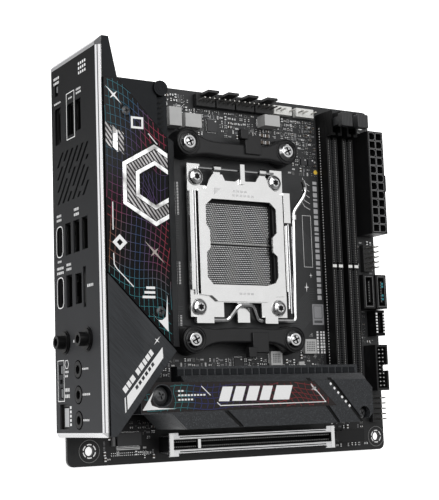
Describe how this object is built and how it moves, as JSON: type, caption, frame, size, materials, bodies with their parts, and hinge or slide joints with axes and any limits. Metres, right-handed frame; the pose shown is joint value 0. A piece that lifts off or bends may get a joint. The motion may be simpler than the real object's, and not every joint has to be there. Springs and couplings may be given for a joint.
{
  "type": "computer motherboard",
  "caption": "Small square computer motherboard with a processor socket, two memory slots, an expansion slot, rear connectors behind a shield, dark heatsinks and moving latches.",
  "frame": {"origin": "bottom centre of the whole object's box: the lowest point is the foot of the rear shield's rim", "axes": "+Z out of the component side of the board; -X towards the rear connectors; +Y towards the edge with the fan headers"},
  "size_m": [0.1772, 0.176, 0.0481],
  "materials": {
    "board": "matt black solder mask",
    "black_plastic": "moulded satin",
    "grey_plastic": "moulded, ribbed",
    "white_plastic": "moulded satin",
    "nickel_steel": "nickel-plated, satin",
    "polished_steel": "bright plated",
    "brushed_steel": "brushed",
    "black_coating": "black satin coating",
    "shield_paint": "charcoal satin paint, bright rim",
    "slate_aluminium": "bead-blasted and brushed, dark slate anodising",
    "gloss_panel": "black gloss with printed coloured grid",
    "smoked_plastic": "translucent grey",
    "silicon": "dark polished chip"
  },
  "bodies": {
    "board": {"circuit_board": "board", "socket_backplate": "black_coating", "cooler_bracket_upper": "black_coating", "cooler_bracket_lower": "black_coating", "antenna_jack_1": "black_coating", "antenna_jack_2": "black_coating", "cover_screw_1": "black_coating", "cover_screw_2": "black_coating", "drive_screw_1": "black_coating", "drive_screw_2": "black_coating", "socket_housing": "black_plastic", "audio_jack_block": "black_plastic", "optical_port": "black_plastic", "bios_switch": "black_plastic", "rear_switches": "black_plastic", "drive_carrier": "black_plastic", "memory_slot_1": "black_plastic", "memory_slot_2": "black_plastic", "power_socket": "black_plastic", "expansion_slot": "black_plastic", "usb2_header": "black_plastic", "front_panel_header": "black_plastic", "fan_headers": "black_plastic", "sata_ports": "black_plastic", "usb3_header": "black_plastic", "socket_frame": "nickel_steel", "load_plate_hinge_wire": "polished_steel", "socket_screw_1": "polished_steel", "socket_screw_2": "polished_steel", "socket_screw_3": "polished_steel", "socket_screw_4": "polished_steel", "cooler_screw_1": "polished_steel", "cooler_screw_2": "polished_steel", "cooler_screw_3": "polished_steel", "cooler_screw_4": "polished_steel", "io_shield": "shield_paint", "hdmi_usb_stack": "brushed_steel", "usb_port_stack": "brushed_steel", "lan_usb_stack": "brushed_steel", "wireless_module": "brushed_steel", "slot_armour": "brushed_steel", "usb_c_header": "brushed_steel", "io_cover": "slate_aluminium", "io_cover_trim": "slate_aluminium", "vrm_heatsink": "slate_aluminium", "drive_heatsink": "slate_aluminium", "drive_heatsink_plate": "slate_aluminium", "io_cover_panel": "gloss_panel", "chipset": "silicon", "light_header_1": "white_plastic", "light_header_2": "white_plastic"},
    "load_lever": {"socket_load_lever": "polished_steel"},
    "load_plate": {"socket_load_plate": "nickel_steel"},
    "memory_latch_1": {"memory_latch_1": "grey_plastic"},
    "memory_latch_2": {"memory_latch_2": "grey_plastic"},
    "slot_latch": {"slot_latch": "black_plastic"},
    "bios_button": {"bios_button": "grey_plastic"},
    "flash_button": {"flash_button": "grey_plastic"},
    "clear_button": {"clear_button": "grey_plastic"},
    "optical_shutter": {"optical_shutter": "smoked_plastic"}
  },
  "joints": [
    {"name": "load_lever_hinge", "type": "hinge", "parent": "board", "child": "load_lever", "pos_m": [0.0046, -0.0257, 0.0099], "axis": [1, 0, 0], "range_deg": [0, 95]},
    {"name": "load_plate_hinge", "type": "hinge", "parent": "board", "child": "load_plate", "pos_m": [0.0046, 0.0446, 0.0114], "axis": [-1, 0, 0], "range_deg": [0, 110]},
    {"name": "memory_latch_1_hinge", "type": "hinge", "parent": "board", "child": "memory_latch_1", "pos_m": [0.0587, 0.072, 0.0096], "axis": [-1, 0, 0], "range_deg": [0, 26]},
    {"name": "memory_latch_2_hinge", "type": "hinge", "parent": "board", "child": "memory_latch_2", "pos_m": [0.0682, 0.072, 0.0096], "axis": [-1, 0, 0], "range_deg": [0, 26]},
    {"name": "slot_latch_hinge", "type": "hinge", "parent": "board", "child": "slot_latch", "pos_m": [0.0558, -0.0804, 0.0106], "axis": [0, 1, 0], "range_deg": [0, 10], "stiffness_Nm_per_rad": 0.02},
    {"name": "optical_shutter_hinge", "type": "hinge", "parent": "board", "child": "optical_shutter", "pos_m": [-0.08245, -0.06715, 0.0145], "axis": [0, -1, 0], "range_deg": [0, 80], "stiffness_Nm_per_rad": 0.0001},
    {"name": "bios_button_press", "type": "slide", "parent": "board", "child": "bios_button", "axis": [1, 0, 0], "range_m": [0, 0.0005], "stiffness_N_per_m": 400},
    {"name": "flash_button_press", "type": "slide", "parent": "board", "child": "flash_button", "axis": [1, 0, 0], "range_m": [0, 0.0005], "stiffness_N_per_m": 400},
    {"name": "clear_button_press", "type": "slide", "parent": "board", "child": "clear_button", "axis": [1, 0, 0], "range_m": [0, 0.0005], "stiffness_N_per_m": 400}
  ]
}
